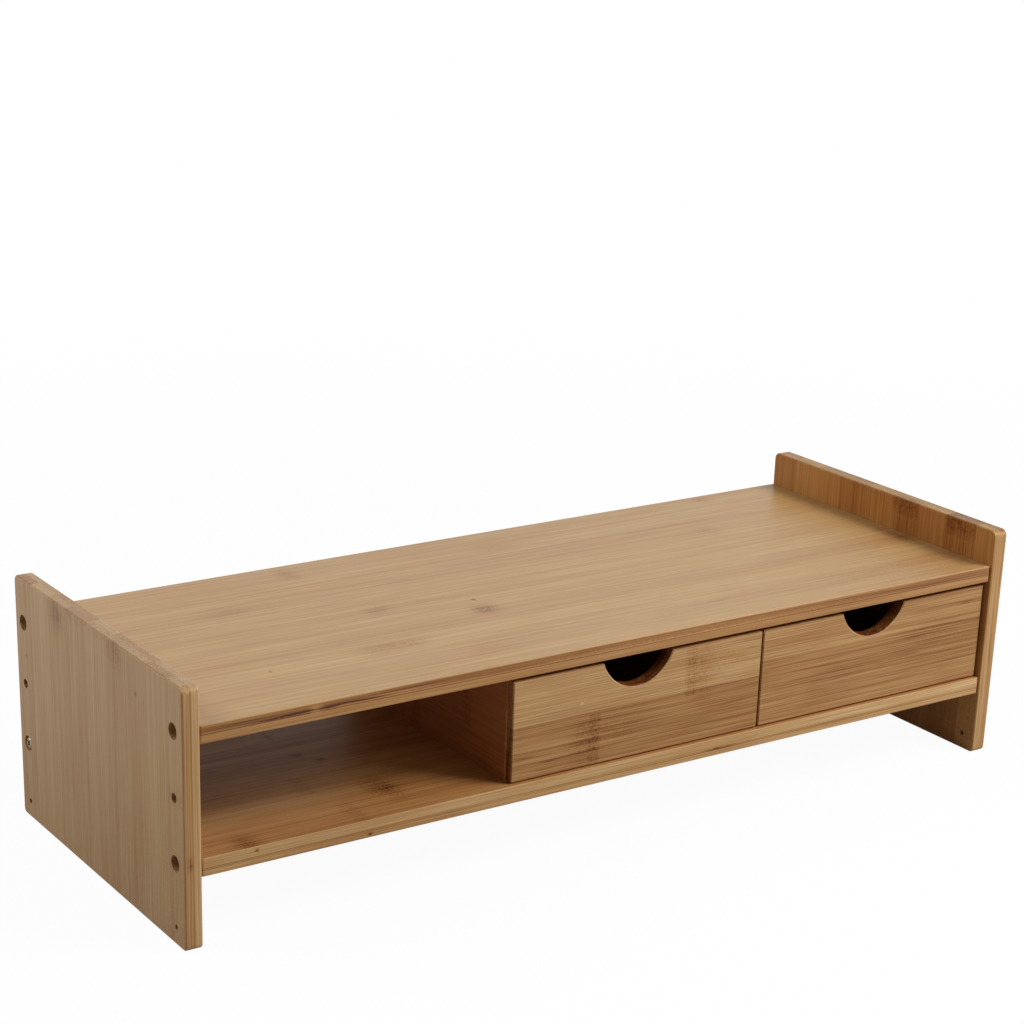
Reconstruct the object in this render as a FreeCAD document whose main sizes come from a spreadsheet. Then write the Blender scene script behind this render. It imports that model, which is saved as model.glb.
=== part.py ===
"""Laptop stand in bamboo: two side panels, a top board, a shelf, an open bay and two sliding drawers.

Lengths are in millimetres. The origin is on the floor under the middle of the stand, X runs to the
right, Y to the back and Z up. Each piece is drawn in its own corner frame and placed from the sheet.
"""
import FreeCAD, Part
import os
import re
import Sketcher
from FreeCAD import Placement, Rotation, Vector

os.makedirs("parts", exist_ok=True)
document = FreeCAD.newDocument("laptop_stand")

# Driving dimensions, by the piece that they belong to
SIZES = {
    # Whole stand
    "stand_width": 560.0,
    "stand_depth": 208.0,
    "stand_height": 145.0,
    # Side panels: the rim stands above the top board, the legs carry the shelf off the desk
    "panel_thickness": 10.0,
    "panel_top_radius": 4.0,
    "panel_foot_radius": 3.0,
    "panel_edge_round": 1.0,
    "rim_height": 22.0,
    "leg_height": 40.0,
    # Top board and shelf
    "top_thickness": 10.0,
    "shelf_thickness": 10.5,
    "board_setback": 1.0,
    "board_corner_radius": 1.8,
    "board_edge_round": 0.5,
    # Dividers, and the bays between them
    "divider_thickness": 10.0,
    "divider_back_gap": 26.0,
    "divider_edge_round": 0.5,
    "open_bay_width": 190.0,
    "last_bay_extra": 2.0,
    # Drawer fronts: a thin board glued over the front of the box
    "front_thickness": 5.0,
    "front_setback": 3.0,
    "front_gap": 1.0,
    "front_inset": 0.7,
    "front_bottom_gap": 0.7,
    "front_top_gap": 2.4,
    "front_corner_round": 1.2,
    "front_edge_bevel": 0.6,
    "stop_gap": 0.3,
    # Round finger pull, cut through both layers of the front
    "finger_radius": 25.0,
    "finger_rise": 7.5,
    "finger_shift": 2.2,
    # Drawer boxes
    "box_front_thickness": 4.0,
    "box_side_thickness": 6.0,
    "box_back_thickness": 6.0,
    "box_bottom_thickness": 3.0,
    "box_side_clearance": 0.8,
    "box_glide_gap": 0.3,
    "box_top_drop": 2.0,
    "box_back_clearance": 4.0,
    "box_edge_round": 0.8,
    "housing_depth": 2.5,
    "groove_depth": 2.0,
    "groove_rise": 4.0,
    "bottom_play": 0.3,
    # Wood screws, and the holes that they sit in
    "screw_inset": 10.4,
    "screw_rise": 1.0,
    "screw_bore_diameter": 9.2,
    "screw_bore_depth": 5.5,
    "flush_bore_depth": 2.9,
    "passage_diameter": 4.4,
    "pilot_diameter": 4.3,
    "pilot_spare_depth": 1.0,
    "screw_head_diameter": 8.4,
    "screw_head_height": 2.6,
    "screw_head_bevel": 1.4,
    "screw_shank_diameter": 3.9,
    "screw_length": 32.0,
    "screw_point_length": 6.0,
    "screw_point_bevel": 1.5,
    "recess_span": 4.6,
    "recess_width": 1.1,
    "recess_depth": 1.6,
    # Drill holes that hold nothing
    "spare_hole_diameter": 5.6,
    "spare_hole_depth": 7.0,
    "foot_hole_diameter": 3.2,
    "foot_hole_z": 10.25,
    # Dowels between the dividers and the top board
    "dowel_diameter": 6.0,
    "dowel_length": 16.0,
    "dowel_in_top": 6.0,
    "dowel_chamfer": 0.8,
    "dowel_hole_diameter": 6.3,
    "dowel_end_play": 0.3,
    "divider_fixing_inset": 30.0,
    # Largest error in the place of an edge when edges are picked for rounding
    "pick_error": 0.01,
}

# Lengths and places that follow from the driving dimensions
DERIVED = {
    "inner_width": "stand_width - 2 * panel_thickness",
    "inner_left": "panel_thickness - stand_width / 2",
    "outer_left": "0 - stand_width / 2",
    "outer_right": "stand_width / 2",
    "front_y": "0 - stand_depth / 2",
    "board_y": "front_y + board_setback",
    "board_depth": "stand_depth - board_setback",
    "shelf_top": "leg_height + shelf_thickness",
    "top_underside": "stand_height - rim_height - top_thickness",
    "bay_height": "top_underside - shelf_top",
    # The drawers repeat along X by one pitch, which is a divider and a bay
    "first_divider_x": "inner_left + open_bay_width",
    "drawer_pitch": "(inner_width - open_bay_width - last_bay_extra) / 2",
    "front_face_y": "front_y + front_setback",
    "box_y": "front_face_y + front_thickness",
    "divider_y": "box_y + stop_gap",
    "divider_depth": "stand_depth / 2 - divider_back_gap - divider_y",
    # Drawer front
    "front_width": "drawer_pitch - front_gap",
    "front_height": "bay_height - front_bottom_gap - front_top_gap",
    "front_z": "shelf_top + front_bottom_gap",
    "finger_x": "front_width / 2 - finger_shift",
    # Drawer box, with offsets from the face of the divider on its left
    "box_width": "drawer_pitch - divider_thickness - 2 * box_side_clearance",
    "box_depth": "divider_depth + stop_gap - box_back_clearance",
    "box_height": "front_height + front_bottom_gap - box_glide_gap - box_top_drop",
    "box_z": "shelf_top + box_glide_gap",
    "box_offset": "divider_thickness + box_side_clearance",
    "box_far_offset": "box_offset + box_width",
    "inside_width": "box_width - 2 * box_side_thickness",
    "inside_depth": "box_depth - box_front_thickness - box_back_thickness",
    "inside_offset": "box_offset + box_side_thickness",
    "inside_y": "box_y + box_front_thickness",
    "housed_width": "inside_width + 2 * housing_depth",
    "housed_offset": "inside_offset - housing_depth",
    "box_finger_x": "finger_x + front_inset - housed_offset",
    "box_finger_rise": "finger_rise + box_top_drop",
    "back_rebate_y": "box_depth - box_back_thickness",
    "bottom_reach": "groove_depth - bottom_play",
    "groove_top": "groove_rise + box_bottom_thickness",
    # Holes in the side panels, and the pilot holes behind them
    "back_column": "stand_depth - screw_inset",
    "top_screw_z": "top_underside + top_thickness / 2 + screw_rise",
    "shelf_screw_z": "leg_height + shelf_thickness / 2 + screw_rise",
    "spare_hole_z": "(top_screw_z + shelf_screw_z) / 2",
    "board_pilot_depth": "screw_bore_depth + screw_length + pilot_spare_depth - panel_thickness",
    # Fixings of a divider, from its front edge
    "near_fixing": "divider_fixing_inset",
    "far_fixing": "divider_depth - divider_fixing_inset",
    "dowel_hole_depth": "dowel_length - dowel_in_top + dowel_end_play",
    "divider_pilot_depth": "flush_bore_depth + screw_length + pilot_spare_depth - shelf_thickness",
}

# Columns of holes in a side panel, from its front edge, and a divider's fixings from its own
COLUMNS = ("screw_inset", "back_column")
FIXINGS = ("near_fixing", "far_fixing")

# Sides of the round holes and pins, which are drawn many-sided to keep the model light
OPEN_SIDES = 16
HIDDEN_SIDES = 8

# Turn of each screw's cross recess, in degrees, as a hand would leave them
SCREW_TURNS = (15.0, 52.0, 78.0, 33.0)

sheet = document.addObject("Spreadsheet::Sheet", "sizes")
for row, (alias, number) in enumerate(SIZES.items(), start=1):
    sheet.set("A%d" % row, alias)
    sheet.set("B%d" % row, str(number))
    sheet.setAlias("B%d" % row, alias)
document.recompute()


def cells(expression):
    """Writes an expression of named sizes in terms of the sheet's cells."""
    def expand(match):
        name = match.group()
        if name in DERIVED:
            return "(" + cells(DERIVED[name]) + ")"
        return "sizes." + name
    return re.sub("[a-z_]+", expand, expression)


def size(expression):
    """Value of an expression of named sizes."""
    return float(sheet.evalExpression(cells(expression)))


def bind(item, target, expression):
    """Ties a property of an object to an expression of named sizes."""
    item.setExpression(target, cells(expression))


def bind_length(sketch, constraint, label, expression):
    """Adds a constraint with a length to a sketch and ties the length to an expression."""
    index = sketch.addConstraint(Sketcher.Constraint(*constraint, size(expression)))
    sketch.renameConstraint(index, label)
    bind(sketch, "Constraints." + label, expression)


def pin(sketch, geometry, point, label, x, y):
    """Ties a sketch point to two coordinates; a coordinate of zero puts it on that axis."""
    horizontal, vertical = -1, -2
    for kind, expression, axis in (("DistanceX", x, vertical), ("DistanceY", y, horizontal)):
        if expression == "0":
            sketch.addConstraint(Sketcher.Constraint("PointOnObject", geometry, point, axis))
        else:
            bind_length(sketch, (kind, -1, 1, geometry, point), label + kind[-1].lower(), expression)


def outline(sketch, corners):
    """Draws a closed outline through corners whose coordinates are expressions."""
    points = [Vector(size(x), size(y), 0) for x, y in corners]
    followers = points[1:] + points[:1]
    for start, end in zip(points, followers):
        sketch.addGeometry(Part.LineSegment(start, end), False)
    for index, (x, y) in enumerate(corners):
        follower = (index + 1) % len(corners)
        sketch.addConstraint(Sketcher.Constraint("Coincident", index, 2, follower, 1))
        pin(sketch, index, 1, "corner%d" % index, x, y)


def rectangle(sketch, left, bottom, right, top):
    """Draws a rectangle between four expressions."""
    outline(sketch, [(left, bottom), (right, bottom), (right, top), (left, top)])


def new_body(name):
    """An empty body whose label is the piece's name."""
    body = document.addObject("PartDesign::Body", name)
    body.Label = name
    return body


def lay_on(item, body, plane):
    """Attaches a sketch or feature to one of the body's own planes."""
    face = next(feature for feature in body.Origin.OriginFeatures if feature.Role == plane)
    item.AttachmentSupport = [(face, "")]
    item.MapMode = "FlatFace"


def new_sketch(body, name, plane, lift=None):
    """A sketch on one of the body's own planes, or lifted off it along the normal."""
    sketch = body.newObject("Sketcher::SketchObject", body.Name + "_" + name)
    lay_on(sketch, body, plane)
    if lift is not None:
        bind(sketch, "AttachmentOffset.Base.z", lift)
    return sketch


def pad(body, sketch, length, against_normal=False):
    """Extrudes a sketch into a solid."""
    feature = body.newObject("PartDesign::Pad", sketch.Name + "_pad")
    feature.Profile = sketch
    feature.Reversed = against_normal
    bind(feature, "Length", length)
    document.recompute()


def pocket(body, sketch, depth, along_normal=False):
    """Cuts a sketch out of the body, and stops if nothing was removed."""
    before = body.Tip.Shape.Volume
    feature = body.newObject("PartDesign::Pocket", sketch.Name + "_pocket")
    feature.Profile = sketch
    feature.Reversed = along_normal
    bind(feature, "Length", depth)
    document.recompute()
    if not feature.Shape.Volume < before:
        raise RuntimeError(feature.Name + " cuts nothing")


def prism(body, kind, label, plane, centre, lift, diameter, sides, length):
    """Adds or cuts a round many-sided pin that stands on a plane of the body, or is lifted off it."""
    feature = body.newObject("PartDesign::%sPrism" % kind, body.Name + "_" + label)
    lay_on(feature, body, plane)
    feature.Polygon = sides
    feature.Refine = False
    for target, expression in (
        ("AttachmentOffset.Base.x", centre[0]),
        ("AttachmentOffset.Base.y", centre[1]),
        ("AttachmentOffset.Base.z", lift),
        ("Circumradius", diameter + " / 2"),
        ("Height", length),
    ):
        bind(feature, target, expression)
    document.recompute()


def drill(body, label, plane, centre, start, end, diameter, sides=HIDDEN_SIDES):
    """Drills a hole between two levels along a plane's normal, and stops if nothing was removed."""
    before = body.Tip.Shape.Volume
    prism(body, "Subtractive", label, plane, centre, start, diameter, sides, "%s - (%s)" % (end, start))
    if not body.Tip.Shape.Volume < before:
        raise RuntimeError("%s of %s cuts nothing" % (label, body.Name))


def dress(body, label, kind, measure, expression, wanted):
    """Adds a fillet or chamfer on the edges of the body that a test picks."""
    base = body.Tip
    names = ["Edge%d" % number for number, edge in enumerate(base.Shape.Edges, start=1) if wanted(edge)]
    if not names:
        raise RuntimeError(body.Name + " has no edges for " + label)
    feature = body.newObject("PartDesign::" + kind, body.Name + "_" + label)
    feature.Base = (base, names)
    bind(feature, measure, expression)
    document.recompute()
    return feature


def soften(body, label, radius, wanted):
    """Rounds the edges of the body that a test picks."""
    dress(body, label, "Fillet", "Radius", radius, wanted)


def bevel(body, label, width, wanted):
    """Chamfers the edges of the body that a test picks."""
    return dress(body, label, "Chamfer", "Size", width, wanted)


def reach(edge, axis):
    """Lowest and highest coordinate of an edge along an axis."""
    box = edge.BoundBox
    return {"x": (box.XMin, box.XMax), "y": (box.YMin, box.YMax), "z": (box.ZMin, box.ZMax)}[axis]


def lies_at(edge, axis, level):
    """Whether an edge lies in the plane at a level along an axis, given as an expression."""
    low, high = reach(edge, axis)
    error = size("pick_error")
    return abs(low - size(level)) < error and abs(high - size(level)) < error


def touches(edge, borders):
    """Whether an edge reaches one of the given planes, each an axis and an expression."""
    return any(abs(level - size(expression)) < size("pick_error")
               for axis, expression in borders for level in reach(edge, axis))


def runs_along(edge, axis):
    """Whether an edge is a straight line along an axis."""
    others = [reach(edge, name) for name in "xyz" if name != axis]
    return all(high - low < size("pick_error") for low, high in others)


def place(item, x, y, z):
    """Binds the place of a piece to three expressions."""
    for axis, expression in (("x", x), ("y", y), ("z", z)):
        bind(item, "Placement.Base." + axis, expression)


def plate(name, length, depth, height):
    """A rectangular board with one corner at its origin."""
    body = new_body(name)
    footprint = new_sketch(body, "footprint", "XY_Plane")
    rectangle(footprint, "0", "0", length, depth)
    pad(body, footprint, height)
    return body


def side_panel(name, is_left, bores):
    """One side panel, with its outer face at x = 0, its front edge at y = 0 and its feet at z = 0.

    bores lists the screws by column, row and depth of the seat below the outer face.
    """
    body = new_body(name)
    profile = new_sketch(body, "profile", "YZ_Plane")
    rectangle(profile, "0", "0", "stand_depth", "stand_height")
    pad(body, profile, "panel_thickness", against_normal=not is_left)
    inner_face = "panel_thickness" if is_left else "0 - panel_thickness"
    soften(body, "top_corners", "panel_top_radius",
           lambda edge: runs_along(edge, "x") and lies_at(edge, "z", "stand_height"))
    soften(body, "foot_corners", "panel_foot_radius",
           lambda edge: runs_along(edge, "x") and lies_at(edge, "z", "0"))

    def bore(label, column, row, depth, diameter, sides):
        start, end = ("0", depth) if is_left else ("0 - " + depth, "0")
        drill(body, label, "YZ_Plane", (column, row), start, end, diameter, sides)

    for column, row, bore_depth in bores:
        bore("seat", column, row, bore_depth, "screw_bore_diameter", OPEN_SIDES)
        bore("passage", column, row, "panel_thickness", "passage_diameter", HIDDEN_SIDES)
    for column in COLUMNS:
        bore("spare_hole", column, "spare_hole_z", "spare_hole_depth", "spare_hole_diameter", OPEN_SIDES)
        bore("foot_hole", column, "foot_hole_z", "panel_thickness", "foot_hole_diameter", OPEN_SIDES)
    borders = (("y", "0"), ("y", "stand_depth"), ("z", "0"), ("z", "stand_height"))
    soften(body, "edges", "panel_edge_round",
           lambda edge: (lies_at(edge, "x", "0") or lies_at(edge, "x", inner_face))
           and touches(edge, borders))
    place(body, "outer_left" if is_left else "outer_right", "front_y", "0")
    return body


def long_board(name, thickness, underside, screw_z):
    """The top board or the shelf, with rounded front corners and with pilot holes in both ends."""
    body = plate(name, "inner_width", "board_depth", thickness)
    soften(body, "front_corners", "board_corner_radius",
           lambda edge: runs_along(edge, "z") and lies_at(edge, "y", "0"))
    for column in COLUMNS:
        centre = (column + " - board_setback", screw_z + " - " + underside)
        for start, end in (("0", "board_pilot_depth"), ("inner_width - board_pilot_depth", "inner_width")):
            drill(body, "pilot", "YZ_Plane", centre, start, end, "pilot_diameter")
    place(body, "inner_left", "board_y", underside)
    return body


def round_off(body, thickness):
    """Rounds the edges all round the top and the underside of a long board."""
    borders = (("x", "0"), ("x", "inner_width"), ("y", "0"), ("y", "board_depth"))
    soften(body, "edges", "board_edge_round",
           lambda edge: (lies_at(edge, "z", "0") or lies_at(edge, "z", thickness))
           and touches(edge, borders))


def divider_fixings():
    """Centres of the fixings of both dividers, on the stand."""
    centres = []
    for number in range(2):
        x = "first_divider_x + %d * drawer_pitch + divider_thickness / 2" % number
        centres += [(x, "divider_y + " + fixing) for fixing in FIXINGS]
    return centres


def fixings_on_board():
    """The same centres, from the corner of the top board or the shelf."""
    return [(x + " - inner_left", y + " - board_y") for x, y in divider_fixings()]


def top_board():
    """Top board, with blind holes in its underside for the dividers' dowels."""
    body = long_board("top_board", "top_thickness", "top_underside", "top_screw_z")
    for centre in fixings_on_board():
        drill(body, "dowel_hole", "XY_Plane", centre, "0", "dowel_in_top + dowel_end_play",
              "dowel_hole_diameter")
    round_off(body, "top_thickness")
    return body


def bottom_shelf():
    """Shelf, with sunk screw holes from below for the dividers."""
    body = long_board("bottom_shelf", "shelf_thickness", "leg_height", "shelf_screw_z")
    for centre in fixings_on_board():
        drill(body, "seat", "XY_Plane", centre, "0", "flush_bore_depth", "screw_bore_diameter", OPEN_SIDES)
        drill(body, "passage", "XY_Plane", centre, "0", "shelf_thickness", "passage_diameter")
    round_off(body, "shelf_thickness")
    return body


def divider(name, number):
    """Upright board between two bays, fixed by screws below and dowels above."""
    body = plate(name, "divider_thickness", "divider_depth", "bay_height")
    soften(body, "upright_edges", "divider_edge_round", lambda edge: runs_along(edge, "z"))
    for fixing in FIXINGS:
        centre = ("divider_thickness / 2", fixing)
        drill(body, "pilot", "XY_Plane", centre, "0", "divider_pilot_depth", "pilot_diameter")
        drill(body, "dowel_hole", "XY_Plane", centre, "bay_height - dowel_hole_depth", "bay_height",
              "dowel_hole_diameter")
    place(body, "first_divider_x + %d * drawer_pitch" % number, "divider_y", "shelf_top")
    return body


def screw_blank():
    """Wood screw along +X with its seat at x = 0: low bevelled head, cross recess, shank and point."""
    body = new_body("screw_blank")
    axis = ("0", "0")
    head_top = "0 - screw_head_height"
    prism(body, "Additive", "shank", "YZ_Plane", axis, "0", "screw_shank_diameter", HIDDEN_SIDES,
          "screw_length")
    point = bevel(body, "point", "screw_point_bevel", lambda edge: lies_at(edge, "x", "screw_length"))
    point.ChamferType = "Two distances"
    point.FlipDirection = True
    bind(point, "Size2", "screw_point_length")
    document.recompute()
    prism(body, "Additive", "head", "YZ_Plane", axis, head_top, "screw_head_diameter", OPEN_SIDES,
          "screw_head_height")
    bevel(body, "head_bevel", "screw_head_bevel", lambda edge: lies_at(edge, "x", head_top))
    for label, width, height in (
        ("level_slot", "recess_span", "recess_width"),
        ("upright_slot", "recess_width", "recess_span"),
    ):
        slot = new_sketch(body, label, "YZ_Plane", lift=head_top)
        rectangle(slot, "0 - %s / 2" % width, "0 - %s / 2" % height, width + " / 2", height + " / 2")
        pocket(body, slot, "recess_depth", along_normal=True)
    return body


def dowel_blank():
    """Wooden dowel along +Z with bevelled ends."""
    body = new_body("dowel_blank")
    prism(body, "Additive", "rod", "XY_Plane", ("0", "0"), "0", "dowel_diameter", HIDDEN_SIDES,
          "dowel_length")
    bevel(body, "ends", "dowel_chamfer",
          lambda edge: lies_at(edge, "z", "0") or lies_at(edge, "z", "dowel_length"))
    return body


def group(name, blank, seats):
    """Copies of a blank, each at its own seat, kept together under one name."""
    copies = []
    for number, (x, y, z, rotation) in enumerate(seats):
        copy = document.addObject("App::Link", "%s_%d" % (name, number))
        copy.LinkedObject = blank
        copy.Placement = Placement(Vector(0, 0, 0), rotation)
        place(copy, x, y, z)
        copies.append(copy)
    compound = document.addObject("Part::Compound", name)
    compound.Label = name
    compound.Links = copies
    return compound


def side_screws(name, blank, is_left, bores):
    """The screws of one side panel, head outwards."""
    facing = Rotation(Vector(0, 0, 1), 0 if is_left else 180)
    face = "outer_left + " if is_left else "outer_right - "
    seats = []
    for (column, row, bore_depth), turn in zip(bores, SCREW_TURNS):
        rotation = facing.multiply(Rotation(Vector(1, 0, 0), turn))
        seats.append((face + bore_depth, "front_y + " + column, row, rotation))
    return group(name, blank, seats)


def divider_screws(blank):
    """The screws that come up through the shelf into the dividers."""
    upwards = Rotation(Vector(0, 1, 0), -90)
    seats = []
    for (x, y), turn in zip(divider_fixings(), SCREW_TURNS):
        rotation = upwards.multiply(Rotation(Vector(1, 0, 0), turn))
        seats.append((x, y, "leg_height + flush_bore_depth", rotation))
    return group("divider_screws", blank, seats)


def divider_dowels(blank):
    """The dowels between the dividers and the top board."""
    foot = "top_underside + dowel_in_top - dowel_length"
    return group("divider_dowels", blank, [(x, y, foot, Rotation()) for x, y in divider_fixings()])


def notched_outline(sketch, width, height, notch_x, notch_rise):
    """Outline of a front: a rectangle whose top edge is broken by the arc of the finger pull."""
    right = size(width)
    top = size(height)
    radius = size("finger_radius")
    rise = size(notch_rise)
    middle = size(notch_x)
    half = (radius ** 2 - rise ** 2) ** 0.5
    corners = [(0, 0), (right, 0), (right, top), (middle + half, top), (middle - half, top), (0, top)]
    points = [Vector(x, y, 0) for x, y in corners]
    foot_run, right_run, top_right_run, top_left_run, left_run, arc = range(6)
    for start, end in ((0, 1), (1, 2), (2, 3), (4, 5), (5, 0)):
        sketch.addGeometry(Part.LineSegment(points[start], points[end]), False)
    sketch.addGeometry(Part.Arc(points[4], Vector(middle, top + rise - radius, 0), points[3]), False)
    joined = ((foot_run, 2, right_run, 1), (right_run, 2, top_right_run, 1), (top_right_run, 2, arc, 2),
              (arc, 1, top_left_run, 1), (top_left_run, 2, left_run, 1), (left_run, 2, foot_run, 1))
    for joint in joined:
        sketch.addConstraint(Sketcher.Constraint("Coincident", *joint))
    pin(sketch, foot_run, 1, "origin", "0", "0")
    pin(sketch, right_run, 1, "right_foot", width, "0")
    pin(sketch, top_right_run, 1, "right_top", width, height)
    pin(sketch, left_run, 1, "left_top", "0", height)
    pin(sketch, arc, 3, "notch", notch_x, height + " + " + notch_rise)
    for run in (top_right_run, top_left_run):
        sketch.addConstraint(Sketcher.Constraint("Horizontal", run))
    bind_length(sketch, ("Radius", arc), "notch_radius", "finger_radius")


def from_divider(number, offset):
    """Place along X, from the left face of the divider on a drawer's left."""
    return "first_divider_x + %d * drawer_pitch + %s" % (number, offset)


def front_panel(name, number):
    """Thin outer board of a drawer front, with the finger pull and bevelled outer edges."""
    body = new_body(name)
    face = new_sketch(body, "face", "XZ_Plane")
    notched_outline(face, "front_width", "front_height", "finger_x", "finger_rise")
    pad(body, face, "front_thickness", against_normal=True)
    soften(body, "corners", "front_corner_round", lambda edge: runs_along(edge, "y"))
    bevel(body, "outer_edges", "front_edge_bevel", lambda edge: lies_at(edge, "y", "0"))
    place(body, from_divider(number, "front_inset"), "front_face_y", "front_z")
    return body


def bottom_groove(body, lift=None, along_normal=False):
    """Cuts the groove for the drawer's bottom across the inner face of a front or back."""
    groove = new_sketch(body, "groove", "XZ_Plane", lift)
    rectangle(groove, "0", "groove_rise", "housed_width", "groove_top")
    pocket(body, groove, "groove_depth", along_normal)


def box_front(name, number):
    """Inner layer of a drawer front, housed in the sides and grooved for the bottom."""
    body = new_body(name)
    face = new_sketch(body, "face", "XZ_Plane")
    notched_outline(face, "housed_width", "box_height", "box_finger_x", "box_finger_rise")
    pad(body, face, "box_front_thickness", against_normal=True)
    bottom_groove(body, lift="0 - box_front_thickness", along_normal=True)
    place(body, from_divider(number, "housed_offset"), "box_y", "box_z")
    return body


def box_back(name, number):
    """Back of a drawer box, housed in the sides and grooved for the bottom."""
    body = plate(name, "housed_width", "box_back_thickness", "box_height")
    soften(body, "top_edges", "box_edge_round",
           lambda edge: runs_along(edge, "x") and lies_at(edge, "z", "box_height"))
    bottom_groove(body)
    place(body, from_divider(number, "housed_offset"), "inside_y + inside_depth", "box_z")
    return body


def box_side(name, number, is_left):
    """Side of a drawer box: a grooved section, with a rebate at each end for the front and back."""
    body = new_body(name)
    inward = "" if is_left else "0 - "
    inner = inward + "box_side_thickness"
    groove_floor = inward + "(box_side_thickness - groove_depth)"
    housing_floor = inward + "(box_side_thickness - housing_depth)"
    section = new_sketch(body, "section", "XZ_Plane")
    outline(section, [
        ("0", "0"), (inner, "0"), (inner, "groove_rise"), (groove_floor, "groove_rise"),
        (groove_floor, "groove_top"), (inner, "groove_top"), (inner, "box_height"), ("0", "box_height"),
    ])
    pad(body, section, "box_depth", against_normal=True)
    soften(body, "top_edges", "box_edge_round",
           lambda edge: runs_along(edge, "y") and lies_at(edge, "z", "box_height"))
    for label, start, end in (
        ("front_rebate", "0", "box_front_thickness"),
        ("back_rebate", "back_rebate_y", "box_depth"),
    ):
        rebate = new_sketch(body, label, "XY_Plane")
        rectangle(rebate, housing_floor, start, inner, end)
        pocket(body, rebate, "box_height", along_normal=True)
    place(body, from_divider(number, "box_offset" if is_left else "box_far_offset"), "box_y", "box_z")
    return body


def box_bottom(name, number):
    """Thin bottom that floats in the grooves of the box."""
    body = plate(name, "inside_width + 2 * bottom_reach", "inside_depth + 2 * bottom_reach",
                 "box_bottom_thickness")
    place(body, from_divider(number, "inside_offset - bottom_reach"), "inside_y - bottom_reach",
          "box_z + groove_rise")
    return body


def drawer(name, number):
    """All pieces of one drawer."""
    return [
        front_panel(name + "_drawer_front", number),
        box_front(name + "_drawer_box_front", number),
        box_side(name + "_drawer_left_side", number, True),
        box_side(name + "_drawer_right_side", number, False),
        box_back(name + "_drawer_back", number),
        box_bottom(name + "_drawer_bottom", number),
    ]


def check(pieces):
    """Stops if an object failed, or if a piece has no valid solid."""
    for item in document.Objects:
        if "Invalid" in item.State or "Error" in item.State:
            raise RuntimeError(item.Name + " failed: " + str(item.State))
    for piece in pieces:
        if piece.Shape.isNull() or not piece.Shape.isValid() or not piece.Shape.Solids:
            raise RuntimeError(piece.Label + " has no valid solid")


# Screws of each side panel by column, row and depth of seat; one head on the left sits nearly flush
RIGHT_BORES = [(column, row, "screw_bore_depth")
               for column in COLUMNS for row in ("top_screw_z", "shelf_screw_z")]
LEFT_BORES = RIGHT_BORES[:-1] + [("back_column", "shelf_screw_z", "flush_bore_depth")]

screw = screw_blank()
dowel = dowel_blank()
pieces = [
    side_panel("left_side_panel", True, LEFT_BORES),
    side_panel("right_side_panel", False, RIGHT_BORES),
    top_board(),
    bottom_shelf(),
    divider("left_divider", 0),
    divider("middle_divider", 1),
    side_screws("left_side_screws", screw, True, LEFT_BORES),
    side_screws("right_side_screws", screw, False, RIGHT_BORES),
    divider_screws(screw),
    divider_dowels(dowel),
]
pieces += drawer("middle", 0)
pieces += drawer("right", 1)

document.recompute()
check(pieces)
for piece in pieces:
    piece.Shape.exportStep("parts/" + piece.Label + ".step")
    print(piece.Label, "solids", len(piece.Shape.Solids), "volume %.0f" % piece.Shape.Volume)
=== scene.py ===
"""Looks of a bamboo laptop stand with an open compartment and two drawers.

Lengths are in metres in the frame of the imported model: X to the right, Y to the back, Z up. Every
board is a solid bamboo texture of strips and plies, so that its faces, edges and ends belong together.
Lengths inside the bamboo, such as those of strips, fibres and marks, are in millimetres.
"""
import math
import random

import bpy
from mathutils import Matrix, Vector


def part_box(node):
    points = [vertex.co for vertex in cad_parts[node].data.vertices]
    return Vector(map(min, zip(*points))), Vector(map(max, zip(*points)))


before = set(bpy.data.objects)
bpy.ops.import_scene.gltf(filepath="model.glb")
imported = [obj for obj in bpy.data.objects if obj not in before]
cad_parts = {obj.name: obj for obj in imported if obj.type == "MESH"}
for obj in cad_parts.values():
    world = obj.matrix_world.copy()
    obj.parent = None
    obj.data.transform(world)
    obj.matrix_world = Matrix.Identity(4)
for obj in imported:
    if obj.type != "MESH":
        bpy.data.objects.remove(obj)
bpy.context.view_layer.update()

MM = 0.001
AXES = "xyz"

# Camera of the photograph: a long lens with its picture shifted down and to the left
IMAGE_SIDE = 1024
FOCAL_PIXELS = 2394.55
SENSOR_WIDTH = 36.0
CAMERA_PLACE = Vector((-0.76741, -1.09671, 0.56546))
CAMERA_AZIMUTH = math.radians(32.822)
CAMERA_DROP = math.radians(21.141)
CAMERA_ROLL = math.radians(1.304)
CAMERA_SHIFT = (0.0681, 0.1866)

# Light: soft boxes by name, place, side and power, and the strength of the room round them
LIT_POINT = Vector((0.0, 0.0, 0.08))
LAMPS = (
    ("overhead_box", (0.15, 0.25, 1.7), 1.4, 1.5),
    ("front_box", (0.2, -1.9, 0.5), 1.0, 2.4),
    ("side_box", (1.0, -1.5, 0.9), 1.0, 4.0),
    ("left_box", (-1.1, 0.5, 1.2), 0.8, 10.0),
    ("right_box", (1.0, -0.9, 1.3), 0.8, 24.5),
)
ROOM_LIGHT = 0.11

# Floor: its paper bounces light as grey card does, and shows the camera the white of the room. The
# white goes from its first to its second share between two distances from the middle of the stand:
# for the camera, so that a faint shadow stays near the stand, and for glossy rays, so that the
# panels mirror a floor that the stand shades
FLOOR_HALF_SIDE = 14.0
FLOOR_BOUNCE = (0.40, 0.40, 0.40, 1.0)
FLOOR_ROUGHNESS = 0.9
FLOOR_SPECULAR = 0.1
WHITE = (1.0, 1.0, 1.0, 1.0)
SHADOW_REACH = (0.45, 1.30)
FLOOR_GLOW = (0.955, 1.0)
SHEEN_REACH = (0.26, 0.62)
FLOOR_SHEEN = (0.25, 0.95)

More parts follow.
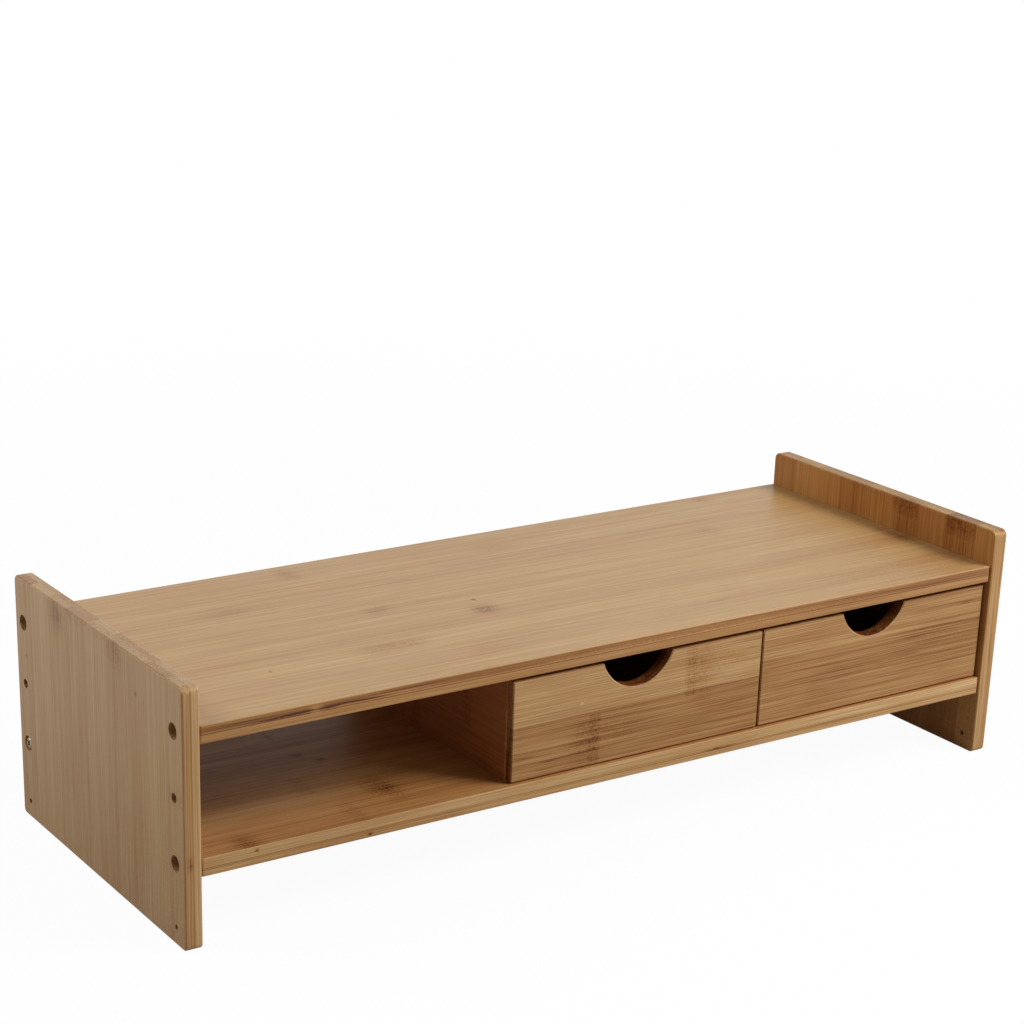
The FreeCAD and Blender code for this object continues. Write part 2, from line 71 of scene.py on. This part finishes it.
# Bamboo from its palest to its darkest tone, in display colours
BAMBOO_TONES = (
    (0.00, (224, 192, 146)),
    (0.25, (206, 167, 117)),
    (0.50, (184, 139, 88)),
    (0.75, (150, 102, 56)),
    (1.00, (88, 48, 22)),
)
NO_TINT = (255, 255, 255)

# Between these shares of a unit normal, a surface goes from not facing to facing along an axis
FACING_LIMITS = (0.55, 0.85)

# Noise in the wood lies about its middle value: its cells' length with the grain and width across
# it, its detail and its roughness
NOISE_MIDDLE = 0.5
BROAD_BANDS = (210.0, 11.0, 2.0)
STREAKS = (120.0, 2.6, 2.0)
FINE_FIBRES = (90.0, 0.62, 3.0, 0.6)
VESSELS = (120.0, 2.1, 0.0)
CLOUDS = (52.0, 20.0, 3.0)
SCAR_TICKS = (1.3, 2.4, 1.0)
END_DOTS = (3.0, 0.7, 1.0)

# How far the tone goes with this noise, where the setting of the board is one. Fine fibres show in
# full on the edges and the ends, and less on the faces
BAND_DEPTH = 0.30
STREAK_DEPTH = 0.26
EDGE_FIBRE_DEPTH = 1.0
FACE_FIBRE_DEPTH = 0.75
VESSEL_DEPTH = 0.20
END_DOT_DEPTH = 0.5

# Vessels are thin lines along the middle value of their noise, faint in pale bands and full in dark ones
VESSEL_WIDTH = 0.055
VESSEL_BANDS = (0.38, 0.62)
VESSEL_SHARES = (0.25, 1.0)

# Tone of an end: shares of its strip, of its ply and of chance for each block of both
END_STRIP_SHARE = 0.55
END_PLY_SHARE = 0.35
END_CHANCE_SHARE = 0.3

# Uneven strips have these shares of an even one's width. All strips are numbered in steps of a part
# of one, and each shifts its fibres and rings by its own amount
STRIP_WIDTHS = (0.85, 1.15)
NUMBER_STEP = 0.37
FIBRE_SHIFT = 500.0
RING_SHIFT = 7.3

# Seeds of the random values within one board, added to the seed of the board, and the third
# coordinate of the blush, which needs only two
END_SEED = 0.5
SHIFT_SEED = 3.7
BLUSH_SEED = 9.1
BLUSH_PLACE = 0.3

# Rings of the culm: their distance, where their dark fades out, how dark ticks and ground are, and
# between which values of their noise the ticks show
RING_PITCH = 270.0
RING_REACH = (2.0, 7.0)
RING_TICKS = 0.30
RING_GROUND = 0.12
TICK_LIMITS = (0.46, 0.62)

# Marks are broken up by fibres and ticks together: between these sums, they go from faint to strong
ROUGH_LIMITS = (0.75, 1.2)
ROUGH_SHARES = (0.35, 1.25)

# Knuckles, in halves of their size: where their sides and ends fade out and how wide their pale rims
# are; then how dark their ticks, ground and rims are
KNUCKLE_SIDES = (0.92, 1.04)
KNUCKLE_ENDS = (0.25, 1.25)
KNUCKLE_RIM = 0.16
KNUCKLE_TICKS = 0.50
KNUCKLE_GROUND = 0.30
KNUCKLE_RIM_TONE = -0.18

# Reddish cast, by chance for each strip and in clouds
BLUSH = (232, 206, 196)
BLUSH_BY_STRIP = 0.4
BLUSH_IN_CLOUDS = 0.9
BLUSH_CLOUDS = (0.42, 0.62)

# Satin lacquer: its roughness changes with the fine fibres, and marks and vessels dent it
ROUGHNESS_FIBRES = (0.3, 0.7)
ROUGHNESS_SPREAD = (-0.05, 0.09)
BUMP_STRENGTH = 0.25
BUMP_HEIGHT = 0.00012
SCAR_RELIEF = -1.5
VESSEL_RELIEF = -0.4

# Zinc-plated steel with a slight yellow cast: cells of its spots per metre, worn and bright colour
STEEL_CELLS = 900.0
STEEL_DETAIL = 3.0
STEEL_LIMITS = (0.3, 0.7)
STEEL_COLOURS = ((118, 104, 74), (198, 184, 150))
STEEL_ROUGHNESS = (0.28, 0.5)

# Drawers: painted shade as a darker tint of the edges and ends of the front and of the box front, and
# painted shade on the wall of the finger pull as an edge mark's half length, half width and strength
FRONT_EDGE_PAINTED_SHADE = (232, 204, 182)
BOX_EDGE_PAINTED_SHADE = (215, 188, 170)
PULL_PAINTED_SHADE = (24, 40, 0.34)


def linear(colour):
    """Linear colour with full opacity, from display values of 0 to 255."""
    channels = []
    for value in colour:
        share = value / 255
        channels.append(share / 12.92 if share <= 0.04045 else ((share + 0.055) / 1.055) ** 2.4)
    return (*channels, 1.0)


class Nodes:
    """Adds nodes to the tree of a material or a world; a value is a number, a tuple or an output."""

    def __init__(self, owner):
        self.tree = owner.node_tree

    def add(self, kind, **settings):
        node = self.tree.nodes.new(kind)
        for name, value in settings.items():
            setattr(node, name, value)
        return node

    def feed(self, socket, value):
        if isinstance(value, bpy.types.NodeSocket):
            self.tree.links.new(value, socket)
        else:
            socket.default_value = value

    def feed_all(self, node, values):
        for socket, value in zip(node.inputs, values):
            self.feed(socket, value)
        return node.outputs[0]

    def math(self, operation, *values, clamp=False):
        return self.feed_all(self.add("ShaderNodeMath", operation=operation, use_clamp=clamp), values)

    def total(self, *values):
        result = values[0]
        for value in values[1:]:
            result = self.math("ADD", result, value)
        return result

    def product(self, *values):
        result = values[0]
        for value in values[1:]:
            result = self.math("MULTIPLY", result, value)
        return result

    def weighted(self, *pairs):
        return self.total(*(self.product(*pair) for pair in pairs))

    def centred(self, noise):
        return self.math("SUBTRACT", noise, NOISE_MIDDLE)

    def distance(self, value, centre):
        return self.math("ABSOLUTE", self.math("SUBTRACT", value, centre))

    def spread(self, value, low, high, to_low=0.0, to_high=1.0, smooth=False):
        kind = "SMOOTHSTEP" if smooth else "LINEAR"
        node = self.add("ShaderNodeMapRange", interpolation_type=kind)
        return self.feed_all(node, (value, low, high, to_low, to_high))

    def fade(self, value, low, high):
        return self.spread(value, low, high, 1.0, 0.0, smooth=True)

    def vector(self, x, y, z):
        return self.feed_all(self.add("ShaderNodeCombineXYZ"), (x, y, z))

    def split(self, vector):
        node = self.add("ShaderNodeSeparateXYZ")
        self.feed(node.inputs[0], vector)
        return dict(zip(AXES, node.outputs))

    def coordinates(self, kind):
        return self.add("ShaderNodeTexCoord").outputs[kind]

    def scaled_place(self, scale):
        """Place in the piece's own frame, times a scale."""
        scaled = self.add("ShaderNodeVectorMath", operation="SCALE")
        self.feed(scaled.inputs[0], self.coordinates("Object"))
        scaled.inputs["Scale"].default_value = scale
        return scaled.outputs[0]

    def noise(self, vector, detail, roughness=0.5):
        node = self.add("ShaderNodeTexNoise", noise_dimensions="3D")
        self.feed(node.inputs["Vector"], vector)
        node.inputs["Scale"].default_value = 1.0
        node.inputs["Detail"].default_value = detail
        node.inputs["Roughness"].default_value = roughness
        return node.outputs[0]

    def streaks(self, place, length, width, detail, roughness=0.5):
        """Noise about its middle, in cells that are long with the grain and narrow across it."""
        cells = [self.math("DIVIDE", value, size) for value, size in zip(place, (length, width, width))]
        return self.noise(self.vector(*cells), detail, roughness)

    def chance(self, x, y, z):
        node = self.add("ShaderNodeTexWhiteNoise", noise_dimensions="3D")
        self.feed(node.inputs["Vector"], self.vector(x, y, z))
        return node.outputs["Value"]

    def ramp(self, value, stops, interpolation="LINEAR"):
        node = self.add("ShaderNodeValToRGB")
        ramp = node.color_ramp
        ramp.interpolation = interpolation
        while len(ramp.elements) < len(stops):
            ramp.elements.new(1.0)
        for element, (place, colour) in zip(ramp.elements, stops):
            element.position = place
            element.color = colour
        self.feed(node.inputs[0], value)
        return node.outputs[0]

    def mix(self, share, first, second, blend="MIX"):
        node = self.add("ShaderNodeMix", data_type="RGBA", blend_type=blend)
        for name, value in (("Factor", share), ("A", first), ("B", second)):
            self.feed(node.inputs[name], value)
        return node.outputs["Result"]


def new_material(name):
    """An empty node material, with its shader and its helper."""
    material = bpy.data.materials.new(name)
    material.use_nodes = True
    shader = material.node_tree.nodes["Principled BSDF"]
    return material, shader, Nodes(material)


def steps(nodes, place, limits, shares, soft=False):
    """Tone along a board, constant or eased over each stretch; shares lists width and tone."""
    total = sum(width for width, _ in shares)
    start = 0.0
    stops = []
    for width, tone in shares:
        at = start + width / 2 if soft else start
        stops.append((at / total, (tone, tone, tone, 1.0)))
        start += width
    return nodes.ramp(nodes.spread(place, *limits), stops, "EASE" if soft else "CONSTANT")


def uneven_strips(seed, count, low_tone, high_tone):
    """Strips of slightly uneven width and tone, as width shares and tones."""
    chance = random.Random(seed)
    return [(chance.uniform(*STRIP_WIDTHS), chance.uniform(low_tone, high_tone)) for _ in range(count)]


def off_centre(nodes, value, centre, half):
    """Distance from a centre, in halves of the mark."""
    return nodes.math("ABSOLUTE", nodes.math("DIVIDE", nodes.math("SUBTRACT", value, centre), half))


def blotch(nodes, u, v, at_u, at_v, half_length, half_width):
    """Soft spot round a point of a board's face."""
    along = nodes.math("POWER", off_centre(nodes, u, at_u, half_length), 2.0)
    across = nodes.math("POWER", off_centre(nodes, v, at_v, half_width), 2.0)
    return nodes.math("EXPONENT", nodes.product(nodes.math("ADD", along, across), -1.0))


def knuckle(nodes, u, v, ticks, at_u, at_v, half_length, half_width, strength):
    """Scar of the culm's ring across one strip: rows of short ticks between two pale lines."""
    along = off_centre(nodes, u, at_u, half_length)
    inside = nodes.fade(off_centre(nodes, v, at_v, half_width), *KNUCKLE_SIDES)
    zone = nodes.product(nodes.fade(along, *KNUCKLE_ENDS), inside)
    rim = nodes.product(nodes.fade(nodes.distance(along, 1.0), 0.0, KNUCKLE_RIM), inside)
    dark = nodes.product(zone, nodes.math("MULTIPLY_ADD", ticks, KNUCKLE_TICKS, KNUCKLE_GROUND))
    return nodes.product(nodes.math("MULTIPLY_ADD", rim, KNUCKLE_RIM_TONE, dark), strength)


class Wood:
    """Where a point of a board lies: u with the grain, v across the strips and w through the plies.

    Also the limits of the board along the three, and whether the surface is an end, an edge or a face.
    """

    def __init__(self, nodes, box, grain, across, depth):
        place = nodes.split(nodes.scaled_place(1 / MM))
        normal = nodes.split(nodes.coordinates("Normal"))
        self.u, self.v, self.w = (place[axis] for axis in (grain, across, depth))
        self.length, self.breadth, self.thickness = (
            [corner[AXES.index(axis)] / MM for corner in box] for axis in (grain, across, depth))
        self.on_end, self.on_edge, self.on_face = (
            nodes.spread(nodes.math("ABSOLUTE", normal[axis]), *FACING_LIMITS)
            for axis in (grain, across, depth))


def laminate(nodes, wood, strips, plies, soft, edge_fall, seed):
    """Tone of the strips on the face, of the plies on the long edges and of both on the ends.

    The number of the strip and the tone of the ply come with it, for what differs between them.
    """
    strip_tone = steps(nodes, wood.v, wood.breadth, strips, soft)
    numbers = [(width, (number * NUMBER_STEP) % 1.0) for number, (width, _) in enumerate(strips)]
    strip_number = steps(nodes, wood.v, wood.breadth, numbers)
    ply_tone = steps(nodes, wood.w, wood.thickness, plies)
    along = nodes.spread(wood.u, *wood.length, -0.5, 0.5)
    edge_tone = nodes.total(ply_tone, nodes.product(along, edge_fall))
    block = nodes.chance(strip_number, ply_tone, seed + END_SEED)
    end_tone = nodes.weighted((strip_tone, END_STRIP_SHARE), (ply_tone, END_PLY_SHARE),
                              (block, END_CHANCE_SHARE))
    tone = nodes.weighted((strip_tone, wood.on_face), (edge_tone, wood.on_edge), (end_tone, wood.on_end))
    return tone, strip_number, ply_tone


def place_marks(nodes, wood, scars, fine, ticks, marks, edge_marks):
    """Adds the listed soft spots: on the face, then on the edges and the ends."""
    rough = nodes.spread(nodes.math("ADD", fine, ticks), *ROUGH_LIMITS, *ROUGH_SHARES)
    sides = nodes.math("MAXIMUM", wood.on_edge, wood.on_end)
    for spots, across, facing in ((marks, wood.v, wood.on_face), (edge_marks, wood.w, sides)):
        for *shape, strength in spots:
            spot = nodes.product(blotch(nodes, wood.u, across, *shape), rough, facing)
            scars = nodes.math("MULTIPLY_ADD", spot, strength, scars)
    return scars


def culm_rings(nodes, wood, phase, tick, rings):
    """Rings of the culm, one now and then along each strip."""
    turns = nodes.math("ADD", nodes.math("DIVIDE", wood.u, RING_PITCH), nodes.product(phase, RING_SHIFT))
    distance = nodes.product(nodes.distance(nodes.math("FRACT", turns), 0.5), RING_PITCH)
    dark = nodes.math("MULTIPLY_ADD", tick, RING_TICKS, RING_GROUND)
    return nodes.product(nodes.fade(distance, *RING_REACH), dark, rings, wood.on_face)


def wood_colour(nodes, wood, tone, cloud, strip_number, seed, blush, tints):
    """Colour of a tone, with a reddish cast and the tints of faces, edges and ends."""
    stops = [(at, linear(colour)) for at, colour in BAMBOO_TONES]
    colour = nodes.ramp(tone, stops)
    by_strip = nodes.chance(strip_number, seed + BLUSH_SEED, BLUSH_PLACE)
    pink = nodes.total(nodes.product(by_strip, BLUSH_BY_STRIP),
                       nodes.spread(cloud, *BLUSH_CLOUDS, 0.0, BLUSH_IN_CLOUDS))
    blushing = nodes.math("MULTIPLY", pink, blush, clamp=True)
    shares = (blushing, wood.on_face, wood.on_edge, wood.on_end)
    for share, cast in zip(shares, (BLUSH, *tints)):
        colour = nodes.mix(share, colour, linear(cast), "MULTIPLY")
    return colour


def lacquer(nodes, shader, fine, dents, roughness, specular):
    """Satin lacquer over slightly open fibres."""
    limits = [roughness + offset for offset in ROUGHNESS_SPREAD]
    nodes.feed(shader.inputs["Roughness"], nodes.spread(fine, *ROUGHNESS_FIBRES, *limits))
    shader.inputs["Specular IOR Level"].default_value = specular
    bump = nodes.add("ShaderNodeBump")
    bump.inputs["Strength"].default_value = BUMP_STRENGTH
    bump.inputs["Distance"].default_value = BUMP_HEIGHT
    nodes.feed(bump.inputs["Height"], nodes.total(fine, dents))
    nodes.feed(shader.inputs["Normal"], bump.outputs[0])


def bamboo(name, box, grain, across, depth, seed, strips, plies, soft=False, tint=NO_TINT,
           edge_tint=NO_TINT, end_tint=NO_TINT, fibre=0.8, bands=0.8, lines=0.3, clouds=0.1, blush=0.2,
           rings=0.3, marks=(), edge_marks=(), knuckles=(), edge_fall=0.0, roughness=0.36, specular=0.25):
    """Laminated bamboo: strips side by side along one axis, plies along another, fibres along the third.

    Marks go by their place and their half size, each along the grain and then across it, and strength.
    """
    material, shader, nodes = new_material(name)
    wood = Wood(nodes, box, grain, across, depth)
    tone, strip_number, ply_tone = laminate(nodes, wood, strips, plies, soft, edge_fall, seed)

    # Fibres: broad bands, streaks, fine grain, clouds and the thin dark lines of the vessels
    phase = nodes.chance(strip_number, nodes.product(ply_tone, wood.on_edge), seed + SHIFT_SEED)
    thread = (nodes.math("MULTIPLY_ADD", phase, FIBRE_SHIFT, wood.u), wood.v, wood.w)
    broad, middle, fine, vessel = (nodes.streaks(thread, *noise)
                                   for noise in (BROAD_BANDS, STREAKS, FINE_FIBRES, VESSELS))
    here = (wood.u, wood.v, wood.w)
    cloud = nodes.streaks(here, *CLOUDS)
    lined = nodes.product(nodes.fade(nodes.distance(vessel, NOISE_MIDDLE), 0.0, VESSEL_WIDTH),
                          nodes.spread(broad, *VESSEL_BANDS, *VESSEL_SHARES))
    fine_depth = nodes.spread(wood.on_face, 0.0, 1.0, EDGE_FIBRE_DEPTH, FACE_FIBRE_DEPTH * fibre)
    fibres = nodes.weighted(
        (nodes.centred(broad), BAND_DEPTH * bands),
        (nodes.centred(middle), STREAK_DEPTH * fibre),
        (nodes.centred(fine), fine_depth),
        (lined, VESSEL_DEPTH * lines),
        (nodes.centred(cloud), clouds),
    )

    # Scars: rings, marks and knuckles; then the dots of cut fibres on the ends
    ticks = nodes.streaks(here, *SCAR_TICKS)
    tick = nodes.spread(ticks, *TICK_LIMITS, smooth=True)
    scars = culm_rings(nodes, wood, phase, tick, rings)
    scars = place_marks(nodes, wood, scars, fine, ticks, marks, edge_marks)
    for mark in knuckles:
        scar = knuckle(nodes, wood.u, wood.v, tick, *mark)
        scars = nodes.math("MULTIPLY_ADD", scar, wood.on_face, scars)
    dots = nodes.centred(nodes.streaks(here, *END_DOTS))
    end_marks = nodes.product(dots, wood.on_end, END_DOT_DEPTH)

    all_tones = nodes.total(tone, fibres, scars, end_marks)
    tints = (tint, edge_tint, end_tint)
    colour = wood_colour(nodes, wood, all_tones, cloud, strip_number, seed, blush, tints)
    nodes.feed(shader.inputs["Base Color"], colour)
    dents = nodes.weighted((scars, SCAR_RELIEF), (lined, VESSEL_RELIEF * lines))
    lacquer(nodes, shader, fine, dents, roughness, specular)
    return material


def screw_steel():
    """Zinc-plated steel with worn spots."""
    material, shader, nodes = new_material("screw_steel")
    cloud = nodes.noise(nodes.scaled_place(STEEL_CELLS), STEEL_DETAIL)
    stops = [(at, linear(colour)) for at, colour in zip(STEEL_LIMITS, STEEL_COLOURS)]
    nodes.feed(shader.inputs["Base Color"], nodes.ramp(cloud, stops))
    shader.inputs["Metallic"].default_value = 1.0
    nodes.feed(shader.inputs["Roughness"], nodes.spread(cloud, *STEEL_LIMITS, *STEEL_ROUGHNESS))
    return material


def dress_node(node, material):
    """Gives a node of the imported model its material."""
    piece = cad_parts[node]
    piece.data.materials.clear()
    piece.data.materials.append(material)


def board(node, grain, across, depth, seed, **look):
    """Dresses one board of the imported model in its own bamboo."""
    dress_node(node, bamboo(node + "_bamboo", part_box(node), grain, across, depth, seed, **look))


def dress_case():
    """Boards of the case."""
    board("top_board", "x", "y", "z", seed=1, soft=True, specular=0.35, fibre=0.75, bands=0.4, lines=0.35,
          clouds=0.05, blush=0.08, rings=0.0, tint=(234, 236, 229), edge_tint=(243, 229, 210),
          strips=[(20, 0.36), (20, 0.40), (21, 0.33), (20, 0.42), (21, 0.36), (20, 0.40), (22, 0.38),
                  (20, 0.43), (21, 0.40), (22, 0.42)],
          plies=[(4.6, 0.44), (0.5, 0.86), (0.6, 0.48), (2.7, 0.70), (0.9, 0.60), (0.7, 0.36)],
          marks=[(-46, -21, 8, 7, 0.42), (-42.7, -3.9, 1.2, 1.5, 0.7), (-102, 6, 9, 7, 0.16),
                 (-94, 28, 12, 2.5, -0.10), (-131, -50, 15, 9, 0.20), (-112, -51, 12, 9, 0.12),
                 (-80, -76, 16, 9, 0.12), (-115, 89, 6, 10, 0.20), (-178, 44, 16, 7, 0.12),
                 (-202, -52, 1.0, 1.4, 0.4), (25, 73, 14, 6, 0.12), (201, 95, 7, 5, 0.2),
                 # The last three marks, near the right panel, are painted shade on the top where it meets
                 # the panel
                 (162, 39, 9, 7, 0.10), (262, -22, 5, 16, 0.25), (250, -70, 100, 90, 0.08),
                 (212, -80, 60, 20, 0.06)],
          edge_marks=[(-203, 119.6, 3.5, 2.0, -0.45), (-197, 118.9, 6, 0.45, 0.9),
                      (-212, 119.4, 8, 0.45, 0.9), (-186, 119.8, 12, 0.35, 0.8),
                      (-222, 118.6, 14, 0.35, 0.8), (-170, 119.3, 10, 0.4, 0.6),
                      (-150, 120.5, 20, 0.4, 0.3), (-240, 120.2, 20, 0.4, 0.3),
                      (-160, 119.9, 22, 0.8, -0.35), (40, 119.3, 110, 1.8, -0.28)])
    board("bottom_shelf", "x", "y", "z", seed=2, specular=0.10, roughness=0.45, fibre=1.0, bands=1.2,
          tint=(250, 236, 220), strips=uneven_strips(2, 9, 0.37, 0.48),
          plies=[(3.4, 0.36), (0.4, 0.62), (0.5, 0.40), (0.4, 0.58), (5.8, 0.26)], edge_fall=-0.14,
          marks=[(-141, -70, 6, 13, 0.30), (-241, -97, 7, 9, 0.30), (-162, 25, 1.6, 4, 0.5),
                 (-161, -6.5, 3, 3, 0.5), (-152, -18, 3, 2.5, 0.5), (-141, -70, 40, 22, 0.11),
                 (-208, -69, 40, 18, -0.10)],
          edge_marks=[(66, 44.3, 9, 1.0, 0.4), (-170, 42, 1.5, 0.8, 0.5), (-238, 48, 1.5, 0.8, 0.5)])
    board("left_side_panel", "z", "y", "x", seed=3, fibre=0.85, bands=0.4, lines=0.35, clouds=0.05,
          blush=0.15, end_tint=(226, 232, 243),
          strips=[(17, 0.33), (24, 0.29), (24, 0.33), (23, 0.35), (25, 0.30), (26, 0.33), (23, 0.33),
                  (23, 0.26), (23, 0.35)],
          plies=[(5.4, 0.50), (4.6, 0.32)],
          marks=[(124.5, -51.4, 1.2, 1.2, 0.6), (100.4, 90.8, 1.2, 1.2, 0.4), (139, 50, 10, 9, 0.22),
                 (136, 43, 7, 5, 0.18), (143, -24, 9, 8, 0.22), (138, -32, 10, 5, 0.15),
                 # The last mark is painted shade, darker towards the bottom front of the panel
                 (10, -120, 70, 150, 0.10)],
          edge_marks=[(48.7, -276.6, 4, 1.6, 0.28)])
    board("right_side_panel", "z", "y", "x", seed=4, fibre=0.9, bands=0.6, lines=0.5, specular=0.15,
          tint=(255, 234, 200), end_tint=(222, 226, 212),
          strips=[(16, 0.46), (26, 0.62), (24, 0.54), (25, 0.62), (25, 0.50), (25, 0.55), (23, 0.47),
                  (22, 0.42), (22, 0.48)],
          plies=[(5, 0.37), (5, 0.45)], marks=[(15, -100, 28, 60, -0.24)],
          knuckles=[(143, -75, 11, 13, 0.24), (142, -25, 9, 12, 0.20)])
    # Painted light: the left divider's reddish tint and paler strips stand in for reddish light bounced
    # onto its shaded face
    board("left_divider", "y", "z", "x", seed=5, specular=0.10, tint=(255, 222, 208),
          strips=uneven_strips(5, 3, 0.45, 0.57), plies=[(5, 0.50), (5, 0.55)])
    board("middle_divider", "y", "z", "x", seed=6, strips=uneven_strips(6, 3, 0.55, 0.70),
          plies=[(5, 0.60), (5, 0.7)])


def dress_drawer(name, seed, front_strips, knuckles=(), marks=()):
    """Boards of one drawer, with painted shade on its finger pull's wall and on its fronts' edges and
    ends.
    """
    low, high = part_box(name + "_drawer_front")
    # Painted shade: the wall of the finger pull is darker, and the edges and ends of both fronts take a
    # darker tint
    pull_painted_shade = [((low[0] + high[0]) / 2 / MM, low[1] / MM, *PULL_PAINTED_SHADE)]
    board(name + "_drawer_front", "x", "z", "y", seed=seed, strips=front_strips,
          plies=[(3, 0.56), (2, 0.64)], lines=0.8, fibre=1.35, bands=0.35, rings=0.0, specular=0.2,
          end_tint=FRONT_EDGE_PAINTED_SHADE, edge_tint=FRONT_EDGE_PAINTED_SHADE, edge_marks=pull_painted_shade, knuckles=knuckles,
          marks=marks)
    board(name + "_drawer_box_front", "x", "z", "y", seed=seed + 1,
          strips=uneven_strips(seed + 1, 3, 0.55, 0.70), plies=[(2, 0.56), (2, 0.60)],
          end_tint=BOX_EDGE_PAINTED_SHADE, edge_tint=BOX_EDGE_PAINTED_SHADE, edge_marks=pull_painted_shade)
    for number, side in enumerate(("left_side", "right_side")):
        board("%s_drawer_%s" % (name, side), "y", "z", "x", seed=seed + 2 + number,
              strips=uneven_strips(seed + 2 + number, 3, 0.35, 0.6), plies=[(3, 0.5), (3, 0.6)])
    board(name + "_drawer_back", "x", "z", "y", seed=seed + 4,
          strips=uneven_strips(seed + 4, 3, 0.35, 0.6), plies=[(3, 0.5), (3, 0.6)])
    board(name + "_drawer_bottom", "x", "y", "z", seed=seed + 5,
          strips=uneven_strips(seed + 5, 8, 0.3, 0.5), plies=[(3, 0.5)])


def dress_fasteners():
    """Screws and dowels."""
    steel = screw_steel()
    for node in ("left_side_screws", "right_side_screws", "divider_screws"):
        dress_node(node, steel)
    board("divider_dowels", "z", "y", "x", seed=40, strips=[(1, 0.25)], plies=[(1, 0.25)])


def make_camera():
    """The photograph's camera."""
    data = bpy.data.cameras.new("photo_camera")
    data.sensor_width = SENSOR_WIDTH
    data.lens = FOCAL_PIXELS / IMAGE_SIDE * SENSOR_WIDTH
    data.shift_x, data.shift_y = CAMERA_SHIFT
    camera = bpy.data.objects.new("photo_camera", data)
    bpy.context.scene.collection.objects.link(camera)
    forward = Vector((math.sin(CAMERA_AZIMUTH) * math.cos(CAMERA_DROP),
                      math.cos(CAMERA_AZIMUTH) * math.cos(CAMERA_DROP), -math.sin(CAMERA_DROP)))
    level = Vector((math.cos(CAMERA_AZIMUTH), -math.sin(CAMERA_AZIMUTH), 0))
    upright = level.cross(forward)
    right = level * math.cos(CAMERA_ROLL) + upright * math.sin(CAMERA_ROLL)
    up = right.cross(forward)
    turn = Matrix((right, up, -forward)).transposed()
    camera.matrix_world = Matrix.Translation(CAMERA_PLACE) @ turn.to_4x4()
    bpy.context.scene.camera = camera


def area_light(name, place, side, power):
    """Square soft box that faces the middle of the stand."""
    data = bpy.data.lights.new(name, "AREA")
    data.size = side
    data.energy = power
    lamp = bpy.data.objects.new(name, data)
    bpy.context.scene.collection.objects.link(lamp)
    lamp.location = place
    lamp.rotation_euler = (LIT_POINT - Vector(place)).to_track_quat("-Z", "Y").to_euler()


def light_studio():
    """Soft boxes round the stand, and a dim room that looks white to the camera and in mirrors."""
    for lamp in LAMPS:
        area_light(*lamp)
    world = bpy.data.worlds.new("room")
    bpy.context.scene.world = world
    world.use_nodes = True
    nodes = Nodes(world)
    path = nodes.add("ShaderNodeLightPath")
    seen = nodes.math("MAXIMUM", path.outputs["Is Camera Ray"], path.outputs["Is Transmission Ray"])
    seen = nodes.math("MAXIMUM", seen, path.outputs["Is Glossy Ray"])
    background = world.node_tree.nodes["Background"]
    background.inputs["Color"].default_value = WHITE
    nodes.feed(background.inputs["Strength"], nodes.math("MAXIMUM", seen, ROOM_LIGHT))


def lay_floor():
    """White floor that keeps a faint shadow of the stand."""
    half = FLOOR_HALF_SIDE
    corners = [(-half, -half, 0), (half, -half, 0), (half, half, 0), (-half, half, 0)]
    mesh = bpy.data.meshes.new("floor")
    mesh.from_pydata(corners, [], [(0, 1, 2, 3)])
    floor = bpy.data.objects.new("floor", mesh)
    bpy.context.scene.collection.objects.link(floor)
    material, shader, nodes = new_material("floor_paper")
    shader.inputs["Roughness"].default_value = FLOOR_ROUGHNESS
    shader.inputs["Specular IOR Level"].default_value = FLOOR_SPECULAR
    glow = nodes.add("ShaderNodeEmission")
    glow.inputs["Color"].default_value = WHITE
    path = nodes.add("ShaderNodeLightPath")
    camera_ray = path.outputs["Is Camera Ray"]
    nodes.feed(shader.inputs["Base Color"], nodes.mix(camera_ray, FLOOR_BOUNCE, WHITE))
    away = nodes.add("ShaderNodeVectorMath", operation="LENGTH")
    nodes.feed(away.inputs[0], nodes.coordinates("Object"))
    seen, glossy = (
        nodes.product(ray, nodes.spread(away.outputs["Value"], *reach, *shares))
        for ray, reach, shares in ((camera_ray, SHADOW_REACH, FLOOR_GLOW),
                                   (path.outputs["Is Glossy Ray"], SHEEN_REACH, FLOOR_SHEEN)))
    blend = nodes.add("ShaderNodeMixShader")
    share = nodes.math("MAXIMUM", seen, glossy)
    surface = nodes.feed_all(blend, (share, shader.outputs[0], glow.outputs[0]))
    nodes.feed(material.node_tree.nodes["Material Output"].inputs["Surface"], surface)
    mesh.materials.append(material)


dress_case()
dress_drawer("middle", 10, [(18, 0.59), (14, 0.59), (27.4, 0.37)],
             knuckles=[(42.5, 95, 5, 15, 0.18), (-24, 67, 5, 15, 0.18)],
             marks=[(-33, 89.6, 0.8, 0.6, -0.5), (-31, 67, 9, 13, 0.14), (-8, 72, 22, 9, 0.10),
                    (50, 92, 9, 14, 0.17), (70, 96, 22, 9, 0.10)])
dress_drawer("right", 20, [(20, 0.53), (20, 0.59), (19.4, 0.48)], marks=[(240, 84, 28, 20, 0.09)])
dress_fasteners()
make_camera()
light_studio()
lay_floor()
bpy.context.scene.view_settings.view_transform = "Standard"
